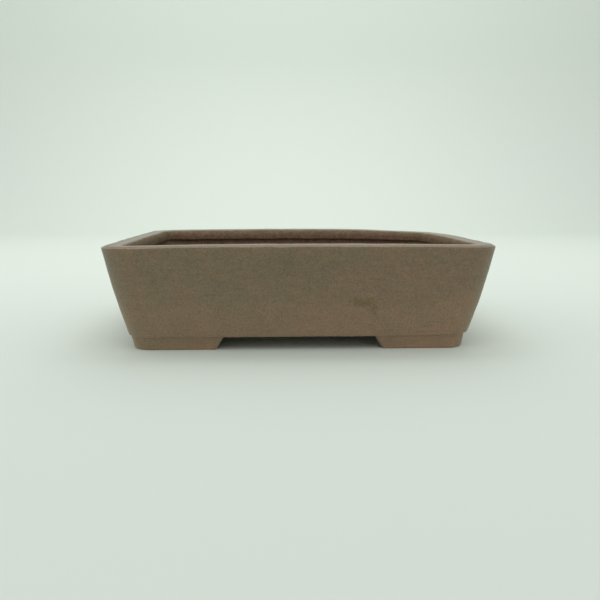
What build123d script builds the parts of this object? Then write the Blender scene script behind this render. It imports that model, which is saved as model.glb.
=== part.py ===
"""A small rectangular unglazed bonsai pot, built the way a potter builds one from slabs of clay.

Four flared walls are mitred round a floor slab. A strip of clay is luted inside the top of each
wall to make the broad flat rim, a coil is pressed into every inside seam, and four L-shaped feet
stand under the corners. Each of those pieces is a solid of its own, and they meet face to face.

Millimetres, +Z up. The origin is on the ground under the middle of the pot, and the front is -Y.
"""
import os

from build123d import *

# Driving dimensions
LENGTH = 200.0            # outside of the rim, along X
WIDTH = 150.0             # outside of the rim, along Y
HEIGHT = 55.0             # ground to the top of the rim
FOOT_HEIGHT = 7.1         # ground to the underside of the body
FLARE = 10.3              # how far each wall leans out between its foot and the rim
RIM_CORNER_RADIUS = 17.0
BASE_CORNER_RADIUS = 12.0
MOUTH_CORNER_RADIUS = 9.0  # inside corners of the rim

WALL_THICKNESS = 7.0      # level thickness of a wall
FLOOR_THICKNESS = 6.5
RIM_WIDTH = 12.0          # wall and lip together, seen from above
LIP_HEIGHT = 6.7
COIL_LEG = 4.5            # how far a seam coil reaches up the wall and over the floor
CORNER_COIL_REACH = 3.0   # how far a corner coil reaches past the bend of the wall

RIM_OUTER_ROUND = 0.8
RIM_INNER_ROUND = 1.8
LIP_UNDER_ROUND = 1.0
BASE_ROUND = 1.5          # rounding of the body's lower edge

FOOT_STEP = 1.3           # how far the feet are set back from the body's lower edge
FOOT_THICKNESS = 9.5      # where the foot meets the body
SOLE_THICKNESS = 7.0      # where it stands on the ground
FOOT_FRONT_GAP = 77.5     # between two feet along X, at their top
FOOT_SIDE_GAP = 56.0      # between two feet along Y, at their top
FOOT_END_SLANT = 4.0      # how far a foot's end leans back from its top to the ground
FOOT_END_ROUND = 1.6
SOLE_ROUND = 0.8

DRAIN_HOLE_RADIUS = 11.0
DRAIN_HOLE_SPACING = 84.0
WIRE_HOLE_RADIUS = 2.5
WIRE_HOLE_SPACING_X = 128.0
WIRE_HOLE_SPACING_Y = 72.0

# Levels and distances that follow from them
FLOOR_TOP = FOOT_HEIGHT + FLOOR_THICKNESS
LIP_BOTTOM = HEIGHT - LIP_HEIGHT
RIDGE_HALF = (LENGTH - WIDTH) / 2     # where the mitre lines of two corners meet, from the middle

SIDES = ("front", "rear", "left", "right")
CORNERS = {
    "front_left": (-1, -1),
    "front_right": (1, -1),
    "rear_left": (-1, 1),
    "rear_right": (1, 1),
}


def corner_radius(level):
    """Outside corner radius of the flared body at a level, which also holds below the body."""
    rise = (level - FOOT_HEIGHT) / (HEIGHT - FOOT_HEIGHT)
    return BASE_CORNER_RADIUS + (RIM_CORNER_RADIUS - BASE_CORNER_RADIUS) * rise


def lean(level):
    """How far the body's side stands in from the rim at a level."""
    return FLARE * (HEIGHT - level) / (HEIGHT - FOOT_HEIGHT)


def section(level, inset):
    """The body's outline at a level, moved inwards by inset."""
    with BuildSketch(Plane.XY.offset(level)) as outline:
        margin = 2 * (lean(level) + inset)
        RectangleRounded(LENGTH - margin, WIDTH - margin, corner_radius(level) - inset)
    return outline.sketch


def flared_block(bottom, top, bottom_inset, top_inset, mode=Mode.ADD):
    """Loft straight from the outline at one level to the outline at another."""
    loft([section(bottom, bottom_inset), section(top, top_inset)], ruled=True, mode=mode)


def keep_side(side):
    """Keep what lies between the two mitre planes of one side of the pot."""
    reach = LENGTH
    along_x = side in ("front", "rear")
    sign = -1 if side in ("front", "left") else 1
    if along_x:
        corners = [
            (-RIDGE_HALF, 0),
            (RIDGE_HALF, 0),
            (RIDGE_HALF + reach, sign * reach),
            (-RIDGE_HALF - reach, sign * reach),
        ]
    else:
        corners = [
            (sign * RIDGE_HALF, 0),
            (sign * (RIDGE_HALF + reach), reach),
            (sign * (RIDGE_HALF + reach), -reach),
        ]
    with BuildSketch(Plane.XY) as region:
        with BuildLine():
            Polyline(*corners, close=True)
        make_face()
    extrude(region.sketch, amount=HEIGHT, mode=Mode.INTERSECT)


def finish(builder, name):
    """Label a piece and write its STEP file."""
    builder.part.label = name
    export_step(builder.part, f"parts/{name}.step")
    print(f"{name}: {len(builder.part.solids())} solid, {builder.part.volume / 1000:.2f} cm3")


def make_floor():
    """The floor slab fills the bottom of the walls and carries the drain and tie-wire holes."""
    with BuildPart() as floor_slab:
        flared_block(FOOT_HEIGHT, FLOOR_TOP, WALL_THICKNESS, WALL_THICKNESS)
        with BuildSketch(Plane.XY.offset(FOOT_HEIGHT)):
            with GridLocations(DRAIN_HOLE_SPACING, 1, 2, 1):
                Circle(DRAIN_HOLE_RADIUS)
            with GridLocations(WIRE_HOLE_SPACING_X, WIRE_HOLE_SPACING_Y, 2, 2):
                Circle(WIRE_HOLE_RADIUS)
        extrude(amount=FLOOR_THICKNESS, mode=Mode.SUBTRACT)
    finish(floor_slab, "floor_slab")


def make_wall(side):
    """One wall slab, from under the body to the rim, mitred at both ends."""
    with BuildPart() as wall:
        flared_block(FOOT_HEIGHT, HEIGHT, 0, 0)
        fillet(wall.faces().sort_by(Axis.Z)[-1].edges(), RIM_OUTER_ROUND)
        fillet(wall.faces().sort_by(Axis.Z)[0].edges(), BASE_ROUND)
        flared_block(FOOT_HEIGHT, HEIGHT, WALL_THICKNESS, WALL_THICKNESS, mode=Mode.SUBTRACT)
        keep_side(side)
    finish(wall, f"{side}_wall")


def make_lip(side):
    """One strip of the inner lip, flush with the top of its wall."""
    with BuildPart() as lip:
        flared_block(LIP_BOTTOM, HEIGHT, WALL_THICKNESS, WALL_THICKNESS)
        with BuildSketch(Plane.XY.offset(LIP_BOTTOM)):
            RectangleRounded(LENGTH - 2 * RIM_WIDTH, WIDTH - 2 * RIM_WIDTH, MOUTH_CORNER_RADIUS)
        extrude(amount=LIP_HEIGHT, mode=Mode.SUBTRACT)
        for end, rounding in ((0, LIP_UNDER_ROUND), (-1, RIM_INNER_ROUND)):
            face = lip.faces().filter_by(Axis.Z).sort_by(Axis.Z)[end]
            fillet(face.inner_wires()[0].edges(), rounding)
        keep_side(side)
    finish(lip, f"{side}_lip")


def floor_coil_ring():
    """All four floor coils in one: the wall and the floor on two sides, a bevel on the third."""
    coil_top = FLOOR_TOP + COIL_LEG
    with BuildPart() as ring:
        flared_block(FLOOR_TOP, coil_top, WALL_THICKNESS, WALL_THICKNESS)
        floor_inset = WALL_THICKNESS + COIL_LEG
        flared_block(FLOOR_TOP, coil_top, floor_inset, WALL_THICKNESS, mode=Mode.SUBTRACT)
    return ring.part


def make_floor_coil(side):
    """The seam coil between one wall and the floor."""
    with BuildPart() as coil:
        add(floor_coil_ring())
        keep_side(side)
    finish(coil, f"{side}_floor_coil")


def corner_coil_edge(level, sign_x, sign_y):
    """Where a corner coil's flat face meets the wall that runs along X."""
    inset = lean(level) + WALL_THICKNESS
    reach = corner_radius(level) - WALL_THICKNESS + CORNER_COIL_REACH
    return Vector(sign_x * (LENGTH / 2 - inset - reach), sign_y * (WIDTH / 2 - inset), level)


def make_corner_coil(corner):
    """The seam coil up the inside of one corner, from the floor coil to the underside of the lip."""
    sign_x, sign_y = CORNERS[corner]
    foot = corner_coil_edge(FLOOR_TOP, sign_x, sign_y)
    top = corner_coil_edge(LIP_BOTTOM, sign_x, sign_y)
    across = Vector(sign_x, -sign_y, 0)
    outward = (top - foot).cross(across) * (sign_x * sign_y)
    with BuildPart() as coil:
        flared_block(FLOOR_TOP, LIP_BOTTOM, WALL_THICKNESS, WALL_THICKNESS)
        split(bisect_by=Plane(origin=foot, x_dir=across, z_dir=outward), keep=Keep.TOP)
        add(floor_coil_ring(), mode=Mode.SUBTRACT)
    finish(coil, f"{corner}_corner_coil")


def cut_foot_gap(plane, top_width, through):
    """Cut the slanted gap between two feet right through, square to a plane."""
    top = top_width / 2
    ground = top + FOOT_END_SLANT
    with BuildSketch(plane) as gap:
        with BuildLine():
            Polyline((-top, FOOT_HEIGHT), (top, FOOT_HEIGHT), (ground, 0), (-ground, 0), close=True)
        make_face()
    extrude(gap.sketch, amount=through / 2, both=True, mode=Mode.SUBTRACT)


def make_foot(corner):
    """One L-shaped foot under a corner, its two legs ending in faces that slant back to the ground."""
    sign_x, sign_y = CORNERS[corner]
    with BuildPart() as foot:
        flared_block(0, FOOT_HEIGHT, FOOT_STEP, FOOT_STEP)
        sole_inset = FOOT_STEP + SOLE_THICKNESS
        top_inset = FOOT_STEP + FOOT_THICKNESS
        flared_block(0, FOOT_HEIGHT, sole_inset, top_inset, mode=Mode.SUBTRACT)
        cut_foot_gap(Plane.XZ, FOOT_FRONT_GAP, WIDTH)
        cut_foot_gap(Plane.YZ, FOOT_SIDE_GAP, LENGTH)
        with BuildSketch(Plane.XY) as quarter:
            with Locations((sign_x * LENGTH / 2, sign_y * WIDTH / 2)):
                Rectangle(LENGTH, WIDTH)
        extrude(quarter.sketch, amount=FOOT_HEIGHT, mode=Mode.INTERSECT)
        for from_middle in (lambda edge: abs(edge.center().X), lambda edge: abs(edge.center().Y)):
            sole = foot.faces().sort_by(Axis.Z)[0]
            fillet(sole.edges().sort_by(from_middle)[0], FOOT_END_ROUND)
        sole = foot.faces().sort_by(Axis.Z)[0]
        fillet(sole.edges(), SOLE_ROUND)
    finish(foot, f"{corner}_foot")


os.makedirs("parts", exist_ok=True)
make_floor()
for side in SIDES:
    make_wall(side)
    make_lip(side)
    make_floor_coil(side)
for corner in CORNERS:
    make_corner_coil(corner)
    make_foot(corner)
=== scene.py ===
"""The looks of a rectangular unglazed bonsai pot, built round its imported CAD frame.

Each CAD node gets a visible piece of its own: a closed mesh that follows the same outline, with the
soft edges, slight warps and finger marks of a hand-built pot. All the pieces take their points from
one set of stations round the pot and one warp, so neighbours share their edges and no seam shows.

Shapes are worked out in millimetres in the frame's axes, and turned into metres when a mesh is made.
A profile is a pair of arrays, setbacks and levels. A setback is how far a point stands in from the
rim's outline, seen from above, and a level is its height above the ground.
"""
import math

import bpy
import numpy as np
from mathutils import Matrix, Vector
from mathutils.geometry import delaunay_2d_cdt


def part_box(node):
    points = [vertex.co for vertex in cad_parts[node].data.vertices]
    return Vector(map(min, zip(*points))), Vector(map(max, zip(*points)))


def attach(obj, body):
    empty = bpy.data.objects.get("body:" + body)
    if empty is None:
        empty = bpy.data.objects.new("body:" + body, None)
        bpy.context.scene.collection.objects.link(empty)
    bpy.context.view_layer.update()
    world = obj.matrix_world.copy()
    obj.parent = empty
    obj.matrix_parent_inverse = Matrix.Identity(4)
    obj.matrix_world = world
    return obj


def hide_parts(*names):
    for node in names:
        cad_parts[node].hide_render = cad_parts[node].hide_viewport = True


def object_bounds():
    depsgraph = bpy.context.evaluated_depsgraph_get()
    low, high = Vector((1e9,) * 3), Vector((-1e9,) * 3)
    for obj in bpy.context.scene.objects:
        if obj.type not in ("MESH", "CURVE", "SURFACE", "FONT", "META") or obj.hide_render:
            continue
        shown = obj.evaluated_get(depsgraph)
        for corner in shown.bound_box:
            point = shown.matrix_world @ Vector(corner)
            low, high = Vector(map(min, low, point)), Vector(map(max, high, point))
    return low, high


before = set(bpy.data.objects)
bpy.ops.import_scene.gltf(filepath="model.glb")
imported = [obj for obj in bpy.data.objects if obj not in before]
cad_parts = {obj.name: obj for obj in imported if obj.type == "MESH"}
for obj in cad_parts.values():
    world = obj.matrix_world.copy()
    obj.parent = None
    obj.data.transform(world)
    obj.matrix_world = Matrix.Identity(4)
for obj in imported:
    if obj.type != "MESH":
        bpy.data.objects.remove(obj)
cad_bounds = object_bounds()

MM = 0.001

# ---------------------------------------------------------------------------------------------
# Sizes, in millimetres
# ---------------------------------------------------------------------------------------------

HEIGHT = cad_bounds[1].z / MM
FOOT_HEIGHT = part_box("front_left_foot")[1].z / MM
FLOOR_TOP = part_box("floor_slab")[1].z / MM
LIP_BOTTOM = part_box("front_lip")[0].z / MM

LENGTH = 200.0
WIDTH = 150.0
FLARE = 10.3                     # how far each wall leans out between its foot and the rim
RIM_CORNER_RADIUS = 17.0
BASE_CORNER_RADIUS = 12.0
MOUTH_CORNER_RADIUS = 9.0
WALL_THICKNESS = 7.0
RIM_WIDTH = 12.0
RIM_OUTER_ROUND = 0.3
RIM_BEVEL = (1.6, 0.8)           # how far the rim's rubbed outer edge reaches in, and down
RIM_INNER_ROUND = 4.2
LIP_UNDER_ROUND = 0.9
BASE_ROUND = 1.0

COIL_LEG = 4.5                   # radius of a floor coil's hollow face
COIL_EDGE = 0.12                 # how proud the thin edge of a smoothed coil stands
CORNER_COIL_SPREAD = 8.0         # how much the coils widen the radius of the inside corners
CORNER_COIL_LEVELS = 26          # rows of points up a corner coil
CORNER_COIL_EDGE_POINTS = 4      # points across each thin edge of one

FOOT_STEP = 1.3
FOOT_THICKNESS = 9.5
SOLE_THICKNESS = 7.0
SOLE_ROUND = 0.9
FOOT_GAPS = (78.2, 56.0)         # along X and along Y, at the top of the feet
FOOT_END_SLANT = 4.0
FOOT_END_ROUNDS = {"front_left": 1.0, "front_right": 1.8, "rear_left": 1.6, "rear_right": 1.3}

DRAIN_HOLES = [((x, 0.0), 11.0) for x in (-42.0, 42.0)]
WIRE_HOLES = [((x, y), 2.5) for x in (-64.0, 64.0) for y in (-36.0, 36.0)]
HOLE_ROUND = 0.7

SHRINK_LEAST = (0.14, 0.14, 0.08)          # along X, Y and Z, at the pot's outside
SHRINK_VARIES = 0.14             # how much more it is in places
WALL_BOW = 0.60                  # how far the walls bow out half way up
RIM_CROWN = 0.9                  # how far the rim's two ends settled in the kiln
SUNK_CORNERS = [(-95.0, -50.0, 0.4), (95.0, 70.0, 1.3)]    # x, y and how far the rim sank there
SUNK_REACH = 40.0                # how far from a sunk corner the rim still dips
CURLED_CORNERS = [(84.0, -60.0, 0.75)]     # x, y and how far the body's lower edge curls up there
CURL_REACH = (17.5, 19.0)        # how far from there it still rises, along the edge and up the wall
FEET_SHIFT = -0.3                # how far the feet stand off the middle, along X
DRAWN_IN = {"left": 0.3, "right": 0.8}     # how far a side wall stands in at its lower edge
DRAWN_AT_GROUND = 0.3            # the share of it at the sole of the feet
CHIP_DEPTH = 0.16                # typical depth of the dents along the rim's outer edge
DENTS = ((11.0, 0.055, 20), (4.5, 0.020, 30))      # wavelength, height and first random seed

CREST_SETBACK = 7.8              # the crest of the rim's inner edge, smoother by use, and lightened by a painted highlight
CREST_HALF_WIDTH = 2.8
RUBBED_REACH = 3.0               # how far from an edge it is still rubbed

STEP = 1.3                       # spacing of the points along the pot's sides
CORNER_STEPS = 9                 # steps in half a corner
SLAB_STEP = 2.4                  # spacing of the points over the floor
SHARP_ANGLE = math.radians(40)

CORNERS = {
    "front_left": (-1, -1),
    "front_right": (1, -1),
    "rear_left": (-1, 1),
    "rear_right": (1, 1),
}
SLANT = math.atan2(FLARE, HEIGHT - FOOT_HEIGHT)


def lean(level):
    """How far the body's outside face stands in from the rim at a level."""
    return FLARE * (HEIGHT - level) / (HEIGHT - FOOT_HEIGHT)


def body_radius(setback, level):
    """Corner radius at a setback, where everything keeps an even distance from the outside face."""
    rise = (level - FOOT_HEIGHT) / (HEIGHT - FOOT_HEIGHT)
    outside = BASE_CORNER_RADIUS + (RIM_CORNER_RADIUS - BASE_CORNER_RADIUS) * rise
    return outside - (setback - lean(level))


# ---------------------------------------------------------------------------------------------
# What hands, the kiln and use did to it. Points hold x, y, z and their setback.
# ---------------------------------------------------------------------------------------------


def waves(points, wavelength, seed, count=16):
    """A smooth random field over points, about -1 to 1: sine waves in random directions."""
    rng = np.random.default_rng(seed)
    directions = rng.normal(size=(count, 3))
    directions /= np.linalg.norm(directions, axis=1, keepdims=True)
    lengths = wavelength * rng.uniform(0.7, 1.5, count)
    phases = rng.uniform(0, 2 * math.pi, count)
    angles = points[..., :3] @ (directions / lengths[:, None] * 2 * math.pi).T + phases
    return np.sin(angles).sum(axis=-1) * math.sqrt(2 / count) * 0.6


def near_edge(points, setback, level, reach):
    """1 on the edge that runs round the pot at this setback and level, 0 from reach away."""
    away = np.hypot(points[..., 3] - setback, points[..., 2] - level)
    return np.clip(1 - away / reach, 0, 1) ** 2


def on_rim(points):
    """1 along the crest of the rim's inner edge, a little on the rest of its top, 0 elsewhere. It marks
    where use smoothed the rim, and where its painted highlight lies.
    """
    crest = np.clip(1 - np.abs(points[..., 3] - CREST_SETBACK) / CREST_HALF_WIDTH, 0, 1)
    on_top = np.clip(1.5 - (HEIGHT - points[..., 2]) / 0.7, 0, 1)
    return (0.35 + 0.65 * crest) * on_top


def rubbed_edges(points):
    """1 along the edges that wear: the rim's outer one, the body's lower one and the soles."""
    return np.max([
        near_edge(points, RIM_OUTER_ROUND, HEIGHT, RUBBED_REACH),
        0.4 * near_edge(points, lean(FOOT_HEIGHT) + 0.6 * BASE_ROUND, FOOT_HEIGHT, RUBBED_REACH),
        np.clip(1 - points[..., 2] / 2.5, 0, 1),
    ], axis=0)


def inside_of_pot(points):
    """1 on the inside faces below the mouth, 0 on the rim, the outside and the underside. Each of
    these limits fades over a few millimetres."""
    setback, level = points[..., 3], points[..., 2]
    over_crest = np.clip((setback - 8.7) / 2.0, 0, 1)
    below_mouth = np.clip((HEIGHT - 0.4 - level) / 2.4 + over_crest, 0, 1)
    behind_wall = np.clip(setback - lean(level) - 5.5, 0, 1)
    above_underside = np.clip((level - FOOT_HEIGHT - 2.0) / 3.0, 0, 1)
    return below_mouth * behind_wall * above_underside


def bumps(points, places, reach):
    """Smooth bumps, each given by its x, y and height, that die away at a reach."""
    total = np.zeros(points.shape[:-1])
    for x, y, height in places:
        away = np.hypot(points[..., 0] - x, points[..., 1] - y)
        total += height * np.exp(-((away / reach) ** 2))
    return total


def settled(points, rise):
    """How far points sank: the rim's ends and sunk corners, less where the lower edge curls up."""
    share_x = points[..., 0] / (LENGTH / 2)
    sunk = RIM_CROWN * share_x ** 2 + bumps(points, SUNK_CORNERS, SUNK_REACH)
    along, up = CURL_REACH
    curled = np.interp(points[..., 2], (0.0, FOOT_HEIGHT, FOOT_HEIGHT + up), (0.0, 1.0, 0.0))
    return rise * sunk - curled * bumps(points, CURLED_CORNERS, along)


def hand_made(points):
    """Where points of the ideal pot are in the real one, always within the CAD model's box."""
    half = np.array([LENGTH / 2, WIDTH / 2, HEIGHT])
    share = points[..., :3] / half
    level = points[..., 2]
    rise = np.clip((level - FOOT_HEIGHT) / (HEIGHT - FOOT_HEIGHT), 0, 1)
    moved = points[..., :3].copy()

    # It shrank unevenly in the kiln
    for axis, least in enumerate(SHRINK_LEAST):
        ease = 0.5 + 0.5 * np.clip(waves(points, 75.0, 10 + axis), -1, 1)
        moved[..., axis] -= share[..., axis] * (least + SHRINK_VARIES * ease)

    # The walls bow out, and the side walls are drawn in at the bottom
    bow = WALL_BOW * np.sin(math.pi * rise)
    outwards = np.clip(1.15 * share[..., :2], -1, 1)
    moved[..., :2] += bow[..., None] * outwards
    low = np.interp(level, (0.0, FOOT_HEIGHT, HEIGHT), (DRAWN_AT_GROUND, 1.0, 0.0))
    drawn = np.where(share[..., 0] < 0, DRAWN_IN["left"], DRAWN_IN["right"])
    moved[..., 0] -= share[..., 0] * low * drawn
    moved[..., 2] -= settled(points, rise)

    # Small dents along the rim's outer edge
    chipped = np.clip(CHIP_DEPTH * (0.25 + waves(points, 17.0, 41)), 0, 1)
    chipped = chipped * near_edge(points, RIM_OUTER_ROUND, HEIGHT - RIM_OUTER_ROUND, 2.6)
    moved[..., :2] -= chipped[..., None] * np.sign(points[..., :2]) * 0.4
    moved[..., 2] -= chipped

    # Finger marks everywhere, deeper inside, with the soles left flat on the ground
    on_ground = np.clip(1 - level / 4.0, 0, 1)
    pressed = 1 + inside_of_pot(points)
    for axis in range(3):
        fade = pressed * (1 - on_ground if axis == 2 else 1.0)
        for wavelength, height, seed in DENTS:
            moved[..., axis] += fade * height * waves(points, wavelength, seed + axis)
    return moved


# ---------------------------------------------------------------------------------------------
# Stations round the pot, and profiles to carry along them
# ---------------------------------------------------------------------------------------------


def ring_of_stations():
    """Stations all round the pot, and each side's first and last station, which lie on the mitres.
    A station is its share of the way out to the corner's centre in X and Y, and the angle it faces."""
    corners = [(-1, -1), (1, -1), (1, 1), (-1, 1)]
    rows, spans = [], {}
    for number, side in enumerate(("front", "right", "rear", "left")):
        start, end = corners[number], corners[(number + 1) % 4]
        facing = (number - 1) * math.pi / 2
        turn = math.pi / 4 / CORNER_STEPS
        length = (LENGTH if side in ("front", "rear") else WIDTH) - 2 * RIM_CORNER_RADIUS
        first = len(rows)
        rows += [(*start, facing - turn * k) for k in range(CORNER_STEPS, 0, -1)]
        rows += [(*share, facing) for share in np.linspace(start, end, round(length / STEP) + 1)]
        rows += [(*end, facing + turn * k) for k in range(1, CORNER_STEPS)]
        spans[side] = (first, len(rows))
    return np.array(rows), spans


RING, SPANS = ring_of_stations()


def carry(profile, radius, stations=RING, centre_line=(0.0, 0.0)):
    """Carry a profile along stations. A share of 0 lies on centre_line, in X and in Y."""
    setback, level = np.broadcast_arrays(*profile)
    share_x, share_y, angle = (np.asarray(stations)[:, k, None] for k in range(3))
    corner_x = LENGTH / 2 - setback - radius
    corner_y = WIDTH / 2 - setback - radius
    x = centre_line[0] + share_x * (corner_x - centre_line[0]) + np.cos(angle) * radius
    y = centre_line[1] + share_y * (corner_y - centre_line[1]) + np.sin(angle) * radius
    return np.stack(np.broadcast_arrays(x, y, level, setback), axis=-1)


def line(start, end, step=STEP):
    """Evenly spaced profile points between two (setback, level) points."""
    count = max(1, round(math.dist(start, end) / step)) + 1
    return np.linspace(start, end, count).T


def arc(centre, radius, start, end, steps=7):
    """Profile points on an arc, from one angle to another."""
    turn = np.linspace(start, end, steps + 1)
    return np.array([centre[0] + radius * np.cos(turn), centre[1] + radius * np.sin(turn)])


def closed(*strips):
    """One closed profile from strips that each start where the one before ends."""
    return np.concatenate([strip[:, :-1] for strip in strips], axis=1)


def inner_face(level):
    """The profile point on the inside face of the wall at a level."""
    return lean(level) + WALL_THICKNESS, level


# ---------------------------------------------------------------------------------------------
# Meshes
# ---------------------------------------------------------------------------------------------


def mesh_of(name, points, faces):
    """A smooth-shaded mesh of the hand-made points, in metres, with sharp edges kept sharp. It
    stores, for the material, how worn each point is, where use smoothed the rim and its painted
    highlight lies, and how far inside the pot each point is."""
    mesh = bpy.data.meshes.new(name)
    mesh.from_pydata((hand_made(points) * MM).tolist(), [], faces)
    mesh.shade_smooth()
    mesh.set_sharp_from_angle(angle=SHARP_ANGLE)
    stored = {"worn": rubbed_edges, "polish_and_highlight": on_rim, "inside": inside_of_pot}
    for label, field in stored.items():
        layer = mesh.attributes.new(label, "FLOAT", "POINT")
        layer.data.foreach_set("value", field(points).astype(np.float32))
    return mesh


def tube_faces(rows, columns):
    """Faces between each closed loop of points and the next."""
    return [
        (row * columns + k, row * columns + (k + 1) % columns,
         (row + 1) * columns + (k + 1) % columns, (row + 1) * columns + k)
        for row in range(rows - 1)
        for k in range(columns)
    ]


def capped(name, loops):
    """A closed mesh through loops of points, with a flat cap at both ends."""
    rows, columns = loops.shape[:2]
    first = tuple(reversed(range(columns)))
    last = tuple(range((rows - 1) * columns, rows * columns))
    return mesh_of(name, loops.reshape(-1, 4), tube_faces(rows, columns) + [first, last])


def corner_normals(mesh):
    """The shading normal at each corner of each face."""
    normals = np.zeros(len(mesh.loops) * 3)
    mesh.corner_normals.foreach_get("vector", normals)
    return normals.reshape(-1, 3)


def side_of(ring, side, name):
    """The part of a ring between two mitres, shaded as if it went on into its neighbours."""
    first, last = SPANS[side]
    rows = np.arange(first - 1, last + 2) % len(ring)
    columns = ring.shape[1]
    mesh = capped(name, ring[rows[1:-1]])
    longer = mesh_of("longer", ring[rows].reshape(-1, 4), tube_faces(len(rows), columns))
    row_corners = 4 * columns
    tube_corners = row_corners * (len(rows) - 3)
    normals = corner_normals(mesh)
    normals[:tube_corners] = corner_normals(longer)[row_corners:row_corners + tube_corners]
    mesh.normals_split_custom_set(normals.tolist())
    bpy.data.meshes.remove(longer)
    return mesh


def show(mesh, node, slot):
    """Put a finished mesh in the scene in place of a CAD node."""
    mesh.materials.append(MATERIALS[slot])
    piece = bpy.data.objects.new(f"{node}_clay", mesh)
    bpy.context.scene.collection.objects.link(piece)
    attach(piece, "root")
    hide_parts(node)


# ---------------------------------------------------------------------------------------------
# The walls, the lip and the coils
# ---------------------------------------------------------------------------------------------


def wall_ring():
    """All four walls: underside, rounded lower edge, outside, rubbed rim edge, top and inside."""
    base_level = FOOT_HEIGHT + BASE_ROUND
    base_centre = lean(base_level) + BASE_ROUND / math.cos(SLANT), base_level
    base = arc(base_centre, BASE_ROUND, 1.5 * math.pi, math.pi + SLANT)
    bevel_in, bevel_down = RIM_BEVEL
    rim_level = HEIGHT - bevel_down - RIM_OUTER_ROUND
    rim_centre = lean(rim_level) + RIM_OUTER_ROUND / math.cos(SLANT), rim_level
    bevel_angle = math.atan2(bevel_down, bevel_in)
    rim = arc(rim_centre, RIM_OUTER_ROUND, math.pi + SLANT, math.pi / 2 + bevel_angle, 5)
    bevel_rise = HEIGHT - rim[1, -1]
    bevel_end = rim[0, -1] + bevel_rise / math.tan(bevel_angle), HEIGHT
    profile = closed(
        line(inner_face(FOOT_HEIGHT), base[:, 0]),
        base,
        line(base[:, -1], rim[:, 0]),
        rim,
        line(rim[:, -1], bevel_end, 0.4),
        line(bevel_end, inner_face(HEIGHT)),
        line(inner_face(HEIGHT), inner_face(FOOT_HEIGHT)),
    )
    return carry(profile, body_radius(*profile))


def lip_ring():
    """All four lip strips: top, rounded edge, mouth face, rounded edge, underside and back."""
    top_centre = RIM_WIDTH - RIM_INNER_ROUND, HEIGHT - RIM_INNER_ROUND
    top = arc(top_centre, RIM_INNER_ROUND, math.pi / 2, 0)
    under_centre = RIM_WIDTH - LIP_UNDER_ROUND, LIP_BOTTOM + LIP_UNDER_ROUND
    under = arc(under_centre, LIP_UNDER_ROUND, 0, -math.pi / 2)
    profile = closed(
        line(inner_face(HEIGHT), top[:, 0]),
        top,
        line(top[:, -1], under[:, 0]),
        under,
        line(under[:, -1], inner_face(LIP_BOTTOM)),
        line(inner_face(LIP_BOTTOM), inner_face(HEIGHT)),
    )
    setback, level = profile
    back, _ = inner_face(level)
    to_mouth = (setback - back) / (RIM_WIDTH - back)
    radius = body_radius(back, level) * (1 - to_mouth) + MOUTH_CORNER_RADIUS * to_mouth
    return carry(profile, radius)


def coil_radius(setback, level):
    """Corner radius of a seam coil: the wall's own at its back, and wider on its smoothed face."""
    back, _ = inner_face(level)
    face = np.clip((setback - back) / COIL_EDGE, 0, 1)
    return body_radius(setback, level) + CORNER_COIL_SPREAD * face


COIL_TOP = FLOOR_TOP + COIL_EDGE + COIL_LEG * (1 - math.sin(SLANT))


def floor_coil_ring():
    """All four floor coils: a hollow face pressed by finger between the floor and the wall, whose
    edges wander along the sides and keep their place at the corners."""
    cove_centre = (
        inner_face(COIL_TOP)[0] + COIL_EDGE + COIL_LEG * math.cos(SLANT),
        FLOOR_TOP + COIL_EDGE + COIL_LEG,
    )
    cove = arc(cove_centre, COIL_LEG, 1.5 * math.pi, math.pi + SLANT, 10)
    floor_edge = cove_centre[0], FLOOR_TOP
    profile = closed(
        line(floor_edge, cove[:, 0]),
        cove,
        line(cove[:, -1], inner_face(COIL_TOP)),
        line(inner_face(COIL_TOP), inner_face(FLOOR_TOP)),
        line(inner_face(FLOOR_TOP), floor_edge),
    )
    radius = coil_radius(*profile)
    ideal = carry(profile, radius)
    along = ideal[:, 0]
    held = np.abs(RING[:, :2]).min(axis=1) ** 6
    spread = 1 + (1 - held) * (0.16 * waves(along, 26.0, 51) + 0.06 * waves(along, 8.0, 52))
    setback, level = profile
    back, _ = inner_face(level)
    setback = back + (setback - back) * spread[:, None]
    return carry((setback, level), radius)


def corner_coil_loops(corner):
    """Level loops up one inside corner: a wide smoothed face, and a back that follows the wall."""
    bend = [(1, 1, angle) for angle in np.linspace(0, math.pi / 2, 2 * CORNER_STEPS + 1)]
    steps = CORNER_COIL_EDGE_POINTS + 1
    loops = []
    for level in np.linspace(COIL_TOP, LIP_BOTTOM, CORNER_COIL_LEVELS):
        setback, _ = inner_face(level)
        face, back = (
            carry(([depth], [level]), coil_radius(depth, level), bend)[:, 0]
            for depth in (setback + COIL_EDGE, setback)
        )
        run_y = np.linspace(face[0, 1], back[0, 1], steps)[:-1]
        before = np.array([(back[0, 0], y, level, setback) for y in run_y])
        run_x = np.linspace(back[-1, 0], face[-1, 0], steps)[1:]
        after = np.array([(x, back[-1, 1], level, setback) for x in run_x])
        loops.append(np.concatenate([face, after[::-1], back[::-1], before[::-1]]))
    return in_corner(np.array(loops), corner)


def in_corner(loops, corner):
    """Turn loops made for the rear right corner into those of another, its faces the same way round."""
    sign_x, sign_y = CORNERS[corner]
    loops = loops * (sign_x, sign_y, 1, 1)
    return loops if sign_x * sign_y > 0 else loops[:, ::-1]


# ---------------------------------------------------------------------------------------------
# The feet and the floor
# ---------------------------------------------------------------------------------------------


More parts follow.
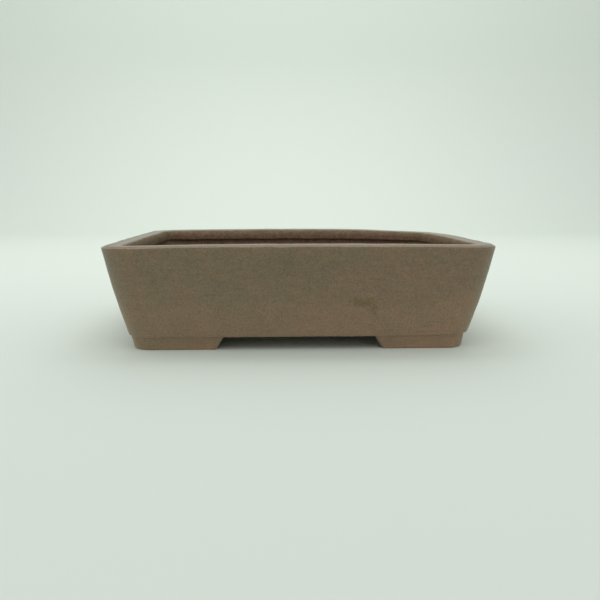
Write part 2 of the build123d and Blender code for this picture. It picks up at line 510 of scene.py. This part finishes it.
def foot_profile(shrink):
    """Section through a leg of a foot, drawn in on three sides by shrink."""

    def outer(level):
        return lean(level) + FOOT_STEP + shrink, level

    def inner(level):
        thickness = SOLE_THICKNESS + (FOOT_THICKNESS - SOLE_THICKNESS) * level / FOOT_HEIGHT
        return lean(level) + FOOT_STEP + thickness - shrink, level

    sole = shrink
    round_level = sole + SOLE_ROUND
    outer_centre = outer(round_level)[0] + SOLE_ROUND, round_level
    outer_round = arc(outer_centre, SOLE_ROUND, math.pi, 1.5 * math.pi, 5)
    inner_centre = inner(round_level)[0] - SOLE_ROUND, round_level
    inner_round = arc(inner_centre, SOLE_ROUND, -math.pi / 2, 0, 5)
    points_up, points_under, points_over = 7, 6, 8
    return closed(
        np.linspace(outer(FOOT_HEIGHT), outer_round[:, 0], points_up).T,
        outer_round,
        np.linspace(outer_round[:, -1], inner_round[:, 0], points_under).T,
        inner_round,
        np.linspace(inner_round[:, -1], inner(FOOT_HEIGHT), points_up).T,
        np.linspace(inner(FOOT_HEIGHT), outer(FOOT_HEIGHT), points_over).T,
    )


def foot_loops(corner):
    """Sections along an L-shaped foot, from the rounded end of one leg to that of the other."""
    end_round = FOOT_END_ROUNDS[corner]

    def sections(stations, shrink=0.0):
        profile = foot_profile(shrink)
        setback, level = profile
        slant = FOOT_END_SLANT * (1 - level / FOOT_HEIGHT)
        ends = [gap / 2 + slant for gap in FOOT_GAPS]
        return list(carry(profile, body_radius(setback, level), stations, ends))

    def leg(axis, facing):
        corner_centre = (LENGTH, WIDTH)[axis] / 2 - lean(0) - RIM_CORNER_RADIUS
        length = corner_centre - FOOT_GAPS[axis] / 2

        def station(share):
            return (share, 1, facing) if axis == 0 else (1, share, facing)

        made = []
        for turn in np.linspace(0, math.pi / 2, 5, endpoint=False):
            along = end_round * (1 - math.cos(turn)) / length
            made += sections([station(along)], end_round * (1 - math.sin(turn)))
        shares = np.linspace(end_round / length, 1, round(length / STEP) + 1)
        return made + sections([station(share) for share in shares])

    bend = [(1, 1, angle) for angle in np.linspace(math.pi / 2, 0, 2 * CORNER_STEPS + 1)[1:-1]]
    loops = leg(0, math.pi / 2) + sections(bend) + leg(1, 0.0)[::-1]
    return in_corner(np.array(loops), corner) + (FEET_SHIFT, 0, 0, 0)


def circle(centre, radius, count):
    """Points round a hole, seen from above."""
    angle = np.linspace(0, 2 * math.pi, count, endpoint=False)
    return np.array(centre) + radius * np.stack([np.cos(angle), np.sin(angle)], axis=1)


def steps_round(radius):
    """How many points a hole of this radius gets."""
    return max(20, round(2 * math.pi * radius / STEP))


def sheet(outline):
    """Evenly sized triangles between an outline and the holes' rounded edges, and their points:
    the outline first, then each hole's circle, then the rest."""
    holes = [(centre, radius + HOLE_ROUND) for centre, radius in DRAIN_HOLES + WIRE_HOLES]
    circles = [circle(centre, radius, steps_round(radius)) for centre, radius in holes]
    points, edges = [], []
    for loop in [outline, *circles]:
        start, count = len(points), len(loop)
        points += loop.tolist()
        edges += [(start + k, start + (k + 1) % count) for k in range(count)]
    far_x, far_y = np.abs(outline).max(axis=0) - SLAB_STEP
    clear_of_hole = 0.6 * SLAB_STEP
    clear_of_corner = 1.5 * SLAB_STEP
    for row, y in enumerate(np.arange(-far_y, far_y, SLAB_STEP)):
        for x in np.arange(-far_x + (row % 2) * SLAB_STEP / 2, far_x, SLAB_STEP):
            near_hole = any(math.dist((x, y), c) < r + clear_of_hole for c, r in holes)
            near_corner = abs(x) + abs(y) > far_x + far_y - clear_of_corner
            if not near_hole and not near_corner:
                points.append([x, y])
    flat = [Vector(point) for point in points]
    inside_outline, merge_distance = 1, 1e-5
    _, _, triangles, *_ = delaunay_2d_cdt(flat, edges, [], inside_outline, merge_distance)
    kept = []
    for triangle in triangles:
        middle = sum((flat[v] for v in triangle), Vector((0, 0))) / 3
        if all(math.dist(middle, centre) > radius for centre, radius in holes):
            kept.append(tuple(triangle))
    return np.array(points), kept


def hole_profile():
    """Down the side of a hole, between the sheets: how much wider than the hole, and the level."""
    upper = arc((HOLE_ROUND, FLOOR_TOP - HOLE_ROUND), HOLE_ROUND, math.pi / 2, math.pi, 3)
    lower = arc((HOLE_ROUND, FOOT_HEIGHT + HOLE_ROUND), HOLE_ROUND, math.pi, 1.5 * math.pi, 3)
    side = line(upper[:, -1], lower[:, 0])
    return np.concatenate([upper[:, 1:], side[:, 1:-1], lower[:, :-1]], axis=1)


def floor_mesh():
    """The floor slab: two sheets, joined round the outline and down through every hole."""
    outlines = [
        carry(([setback], [level]), body_radius(setback, level))[:, 0]
        for setback, level in (inner_face(FOOT_HEIGHT), inner_face(FLOOR_TOP))
    ]
    rows = len(RING)
    flat, triangles = sheet(outlines[0][:, :2])
    count = len(flat)
    middle_setback = 50.0        # anything well inside: the floor's middle needs no exact one
    points = []
    for outline, level in zip(outlines, (FOOT_HEIGHT, FLOOR_TOP)):
        points += outline.tolist()
        points += [(x, y, level, middle_setback) for x, y in flat[rows:]]
    faces = [tuple(reversed(triangle)) for triangle in triangles]
    faces += [tuple(v + count for v in triangle) for triangle in triangles]
    faces += [(k, (k + 1) % rows, (k + 1) % rows + count, k + count) for k in range(rows)]

    hole_start = rows
    for centre, radius in DRAIN_HOLES + WIRE_HOLES:
        around = steps_round(radius + HOLE_ROUND)
        loops = [[hole_start + count + k for k in range(around)]]
        for wider, level in hole_profile().T:
            loops.append([len(points) + k for k in range(around)])
            ring = circle(centre, radius + wider, around)
            points += [(x, y, level, middle_setback) for x, y in ring]
        loops.append([hole_start + k for k in range(around)])
        for above, below in zip(loops, loops[1:]):
            for k in range(around):
                after = (k + 1) % around
                faces.append((above[k], above[after], below[after], below[k]))
        hole_start += around
    return mesh_of("floor_slab", np.array(points), faces)


# ---------------------------------------------------------------------------------------------
# The fired clay
# ---------------------------------------------------------------------------------------------


def paint(red, green, blue):
    """A linear colour from one given in the usual 0 to 255."""
    channels = [c / 255 for c in (red, green, blue)]
    return (*(c / 12.92 if c < 0.04 else ((c + 0.055) / 1.055) ** 2.4 for c in channels), 1.0)


INSIDE_BROWN = paint(119, 97, 84)
IRON = paint(62, 50, 40)
SAND = paint(160, 146, 120)
RUBBED = paint(148, 110, 77)
# Painted highlight: the colour that lightens the rim's crest, and faintly the rest of its top, where
# light from above falls
PAINTED_RIM_HIGHLIGHT = paint(162, 154, 134)
STAIN = paint(101, 86, 54)

# The middles of the stain's smear and run, in metres, and how distances from them count along X, Y
# and Z: the less a distance counts, the longer the mark is that way
STAIN_SMEAR = (0.0325, -0.0685, 0.0258), (0.48, 0.3, 1.6)
STAIN_RUN = (0.0364, -0.0685, 0.0225), (1.6, 0.3, 0.9)


class Shading:
    """Adds nodes to a material. Inputs are sockets to link, or plain values."""

    def __init__(self, name):
        self.material = bpy.data.materials.new(name)
        self.material.use_nodes = True
        self.tree = self.material.node_tree
        self.tree.nodes.clear()

    def node(self, kind, inputs=None, **settings):
        made = self.tree.nodes.new(kind)
        for name, value in settings.items():
            setattr(made, name, value)
        for name, value in (inputs or {}).items():
            self.feed(made.inputs[name], value)
        return made

    def feed(self, socket, value):
        if isinstance(value, bpy.types.NodeSocket):
            self.tree.links.new(value, socket)
        else:
            socket.default_value = value

    def noise(self, place, size, detail=2.0, roughness=0.5, distortion=0.0):
        """Cloudy values about 0.5, in clumps of a size in millimetres."""
        settings = {"Vector": place, "Scale": 1 / (size * MM), "Detail": detail,
                    "Roughness": roughness, "Distortion": distortion}
        return self.node("ShaderNodeTexNoise", settings).outputs["Fac"]

    def specks(self, place, size, channel, chosen, reach):
        """1 in the middle of some random cells of a size in millimetres, 0 elsewhere. A cell is picked
        if its random colour channel is past the range chosen. Its speck fades out over reach, a
        range of the distance from the middle, in cell sizes."""
        cells = self.node("ShaderNodeTexVoronoi", {"Vector": place, "Scale": 1 / (size * MM)})
        channels = self.node("ShaderNodeSeparateColor", {"Color": cells.outputs["Color"]})
        picked = self.remap(channels.outputs[channel], *chosen)
        return self.times(picked, self.remap(cells.outputs["Distance"], *reach, 1.0, 0.0))

    def remap(self, value, low, high, to_low=0.0, to_high=1.0):
        """Values from low to high, clamped, carried over to the range to_low to to_high."""
        settings = {"Value": value, "From Min": low, "From Max": high, "To Min": to_low,
                    "To Max": to_high}
        made = self.node("ShaderNodeMapRange", settings, interpolation_type="SMOOTHSTEP")
        return made.outputs["Result"]

    def maths(self, operation, first, second):
        made = self.node("ShaderNodeMath", operation=operation)
        self.feed(made.inputs[0], first)
        self.feed(made.inputs[1], second)
        return made.outputs["Value"]

    def times(self, first, second):
        return self.maths("MULTIPLY", first, second)

    def total(self, first, *others):
        for other in others:
            first = self.maths("ADD", first, other)
        return first

    def mix(self, factor, first, second):
        """A mix of two colours, whose sockets on the node are told apart only by number."""
        made = self.node("ShaderNodeMix", data_type="RGBA", blend_type="MIX")
        self.feed(made.inputs[0], factor)
        self.feed(made.inputs[6], first)
        self.feed(made.inputs[7], second)
        return made.outputs[2]

    def shade(self, colour, amount):
        """A colour multiplied by a number."""
        made = self.node("ShaderNodeVectorMath", {0: colour, "Scale": amount}, operation="SCALE")
        return made.outputs["Vector"]

    def scaled(self, place, scale):
        """Places stretched by a scale."""
        return self.node("ShaderNodeMapping", {"Vector": place, "Scale": scale}).outputs["Vector"]

    def shifted(self, place, shift):
        """Places shifted by metres, so that one pattern of cells doesn't lie on another."""
        return self.node("ShaderNodeMapping", {"Vector": place, "Location": shift}).outputs["Vector"]

    def spot(self, place, centre, scale):
        """How far places are from a centre once stretched by a scale, in metres."""
        offset = self.node("ShaderNodeVectorMath", {0: place, 1: centre}, operation="SUBTRACT")
        stretched = self.scaled(offset.outputs["Vector"], scale)
        return self.node("ShaderNodeVectorMath", {0: stretched}, operation="LENGTH").outputs["Value"]

    def stored(self, name):
        return self.node("ShaderNodeAttribute", attribute_name=name).outputs["Fac"]


class Clay(Shading):
    """Matte unglazed stoneware. Its colour, relief and gloss share these fields of noise and wear, and
    the mask of the rim's painted highlight.
    """

    def __init__(self, name):
        super().__init__(name)
        self.place = self.node("ShaderNodeTexCoord").outputs["Object"]
        axes = self.node("ShaderNodeSeparateXYZ", {"Vector": self.place})
        self.x, self.z = axes.outputs["X"], axes.outputs["Z"]
        self.worn = self.stored("worn")
        self.polish_and_highlight = self.stored("polish_and_highlight")
        self.inside = self.stored("inside")
        self.clouds = self.noise(self.place, 4.5, 4, 0.6, 0.3)
        self.grain = self.noise(self.place, 0.9, 3, 0.8)
        drawn_out = self.scaled(self.place, (0.10, 0.10, 1.0))
        self.streaks = self.noise(drawn_out, 1.3, 3, 0.6, 0.2)

    def body_colour(self, olive, russet):
        """Patches of two browns, redder low down, to the right, and inside between the side lips."""
        patches = self.remap(self.noise(self.place, 18, 3, 0.55, 0.6), 0.34, 0.66)
        low = self.remap(self.z, 0.006, 0.040, 1.0, 0.0)
        right = self.remap(self.x, -0.06, 0.09)
        redness = self.total(self.times(patches, 0.40), self.times(low, 0.30), self.times(right, 0.25))
        colour = self.mix(redness, olive, russet)
        below_rim = self.remap(self.z, 0.0510, 0.0540, 0.75, 0.0)
        between_lips = self.remap(self.maths("ABSOLUTE", self.x, 0.0), 0.065, 0.088, 1.0, 0.2)
        inside = self.times(self.times(below_rim, between_lips), self.inside)
        return self.mix(inside, colour, INSIDE_BROWN)

    def marked(self, colour):
        """Iron and sand specks, rubbed edges broken up by the grain, and a painted highlight along the
        rim's crest, fainter over the rest of its top.
        """
        iron = self.specks(self.place, 1.15, "Red", (0.80, 0.86), (0.16, 0.30))
        colour = self.mix(self.times(iron, 0.55), colour, IRON)
        sand_place = self.shifted(self.place, (0.31, 0.17, 0.23))
        sand = self.specks(sand_place, 0.9, "Green", (0.84, 0.88), (0.14, 0.28))
        colour = self.mix(self.times(sand, 0.45), colour, SAND)
        rubbed = self.times(self.worn, self.remap(self.noise(self.place, 3.0, 4, 0.7), 0.36, 0.62))
        colour = self.mix(self.times(rubbed, 0.55), colour, RUBBED)
        # painted highlight along the rim's crest, and fainter over its top
        return self.mix(self.times(self.polish_and_highlight, 0.12), colour, PAINTED_RIM_HIGHLIGHT)

    def stained(self, colour):
        """A faint mineral stain on the front, to the right of the middle: a smear and a run."""
        smear = self.spot(self.place, *STAIN_SMEAR)
        run = self.spot(self.place, *STAIN_RUN)
        edge = self.remap(self.noise(self.place, 2.0, 4, 0.7), 0.3, 0.7, -0.0028, 0.0028)
        ragged = self.total(self.maths("MINIMUM", smear, run), edge)
        return self.mix(self.remap(ragged, 0.0020, 0.0040, 0.60, 0.0), colour, STAIN)

    def tone(self):
        """How light the colour is: uneven all over, lighter low down as painted bounce light, mottled
        inside, with painted light lifting the shade on the walls under the lip, and painted shade on
        the side lips."""
        mottle_and_painted_light = self.total(
            self.remap(self.noise(self.place, 2.6, 4, 0.7), 0.35, 0.65, -0.15, 0.15),
            # painted light: the inside walls just under the lip lightened, where its shade falls
            self.remap(self.z, 0.044, 0.0475, 0.25, 0.0),
            # painted shade: the inside near the side lips darkened, as less light reaches there
            self.remap(self.maths("ABSOLUTE", self.x, 0.0), 0.074, 0.088, 0.0, -0.16),
        )
        return self.total(
            self.remap(self.clouds, 0.3, 0.7, 0.92, 1.08),
            self.remap(self.grain, 0.3, 0.7, -0.21, 0.21),
            self.remap(self.streaks, 0.3, 0.7, -0.045, 0.045),
            # painted bounce light: lighter towards the bottom, as if lit from the floor
            self.remap(self.z, 0.000, 0.048, 0.34, 0.04),
            self.times(mottle_and_painted_light, self.inside),
        )

    def relief(self):
        """Fine pits, grain, clouds and the drag marks of wiping, as a bumped normal."""
        pit_place = self.shifted(self.place, (0.05, 0.41, 0.11))
        pits = self.specks(pit_place, 1.7, "Blue", (0.70, 0.78), (0.10, 0.26))
        height = self.total(
            self.times(pits, -0.8),
            self.grain,
            self.times(self.clouds, 1.2),
            self.times(self.streaks, 0.5),
        )
        bump = {"Height": height, "Strength": 0.55, "Distance": 0.25 * MM}
        return self.node("ShaderNodeBump", bump).outputs["Normal"]

    def roughness(self):
        """Matte, and less so where it is worn, and on the rim's top and crest, which use has smoothed.
        """
        smoothness = self.total(self.times(self.worn, 0.35), self.times(self.polish_and_highlight, 0.5), 0.8)
        smoothness = self.maths("SUBTRACT", smoothness, self.clouds)
        return self.remap(smoothness, 0.1, 0.7, 0.84, 0.50)


def clay(name, olive, russet):
    """A fired clay in two browns, with a sheen on its dry outside and none inside."""
    s = Clay(name)
    colour = s.stained(s.marked(s.body_colour(olive, russet)))
    surface = s.node("ShaderNodeBsdfPrincipled", {
        "Base Color": s.shade(colour, s.tone()),
        "Roughness": s.roughness(),
        "Specular IOR Level": s.remap(s.inside, 0.0, 1.0, 0.5, 0.05),
        "Sheen Weight": s.remap(s.inside, 0.0, 1.0, 0.32, 0.0),
        "Sheen Roughness": 0.4,
        "Normal": s.relief(),
    })
    s.node("ShaderNodeOutputMaterial", {"Surface": surface.outputs["BSDF"]})
    return s.material


MATERIALS = {
    "stoneware": clay("stoneware", olive=paint(112, 99, 77), russet=paint(127, 102, 80)),
    "stoneware_inside": clay("stoneware_inside", olive=paint(110, 98, 77), russet=paint(117, 95, 74)),
}

# ---------------------------------------------------------------------------------------------
# The pot
# ---------------------------------------------------------------------------------------------

for part, ring, slot in (
    ("wall", wall_ring(), "stoneware"),
    ("lip", lip_ring(), "stoneware"),
    ("floor_coil", floor_coil_ring(), "stoneware_inside"),
):
    for side in SPANS:
        node = f"{side}_{part}"
        show(side_of(ring, side, node), node, slot)

for corner in CORNERS:
    node = f"{corner}_corner_coil"
    show(capped(node, corner_coil_loops(corner)), node, "stoneware_inside")
    node = f"{corner}_foot"
    show(capped(node, foot_loops(corner)), node, "stoneware")

show(floor_mesh(), "floor_slab", "stoneware_inside")

# ---------------------------------------------------------------------------------------------
# The studio: a pale sweep, soft light, and the camera
# ---------------------------------------------------------------------------------------------


def sweep():
    """A pale floor that curves up into a backdrop, in metres."""
    half_width, front, back, rise, bend = 3.0, -1.6, 0.9, 2.2, 0.5
    turn = np.linspace(-math.pi / 2, 0, 24)
    line_y = [front, *(back + bend * np.cos(turn))]
    line_z = [0.0, *(bend + bend * np.sin(turn))]
    line_y.append(back + bend)
    line_z.append(rise)
    points = [(x, y, z) for y, z in zip(line_y, line_z) for x in (-half_width, half_width)]
    faces = [(2 * k, 2 * k + 1, 2 * k + 3, 2 * k + 2) for k in range(len(line_y) - 1)]
    mesh = bpy.data.meshes.new("sweep")
    mesh.from_pydata(points, [], faces)
    mesh.shade_smooth()
    s = Shading("sweep")
    surface = s.node("ShaderNodeBsdfPrincipled", {
        "Base Color": paint(222, 228, 221), "Roughness": 0.85, "Specular IOR Level": 0.2,
    })
    s.node("ShaderNodeOutputMaterial", {"Surface": surface.outputs["BSDF"]})
    mesh.materials.append(s.material)
    backdrop = bpy.data.objects.new("sweep", mesh)
    bpy.context.scene.collection.objects.link(backdrop)


def soft_light(name, place, aim, size, power):
    """A square area light."""
    lamp = bpy.data.lights.new(name, "AREA")
    lamp.shape = "SQUARE"
    lamp.size = size
    lamp.energy = power
    light = bpy.data.objects.new(name, lamp)
    light.location = place
    light.rotation_euler = (Vector(aim) - Vector(place)).to_track_quat("-Z", "Y").to_euler()
    bpy.context.scene.collection.objects.link(light)


def soft_surroundings(strength, colour):
    """The even light of a white tent."""
    world = bpy.data.worlds.new("studio")
    world.use_nodes = True
    background = world.node_tree.nodes["Background"]
    background.inputs["Color"].default_value = colour
    background.inputs["Strength"].default_value = strength
    bpy.context.scene.world = world


POT_MIDDLE = (0.0, 0.0, 0.03)

sweep()
soft_surroundings(0.65, (0.95, 1.0, 0.965, 1.0))
soft_light("high_front", (0.0, -0.5, 1.0), POT_MIDDLE, 1.1, 2.3)
soft_light("high_back", (0.0, 0.85, 0.95), POT_MIDDLE, 0.9, 2.0)
soft_light("left", (-1.1, -0.1, 0.55), POT_MIDDLE, 0.9, 0.8)
soft_light("backdrop_wash", (0.0, 0.3, 1.2), (0.0, 1.4, 0.5), 1.2, 6.0)
bpy.context.scene.view_settings.view_transform = "Standard"

CAMERA_PLACE = Vector((-0.01097, -0.36858, 0.07792))
CAMERA_TURN = math.radians(-1.995)       # about the vertical
CAMERA_TILT = math.radians(90 - 9.645)   # up from looking straight down
CAMERA_ROLL = math.radians(0.036)
CAMERA_LENS = 36.68                      # for a sensor 36 mm wide

lens = bpy.data.cameras.new("camera")
lens.sensor_width = 36.0
lens.lens = CAMERA_LENS
lens.clip_start = 0.01
camera = bpy.data.objects.new("camera", lens)
camera.matrix_world = (
    Matrix.Translation(CAMERA_PLACE)
    @ Matrix.Rotation(CAMERA_TURN, 4, "Z")
    @ Matrix.Rotation(CAMERA_TILT, 4, "X")
    @ Matrix.Rotation(CAMERA_ROLL, 4, "Z")
)
bpy.context.scene.collection.objects.link(camera)
bpy.context.scene.camera = camera
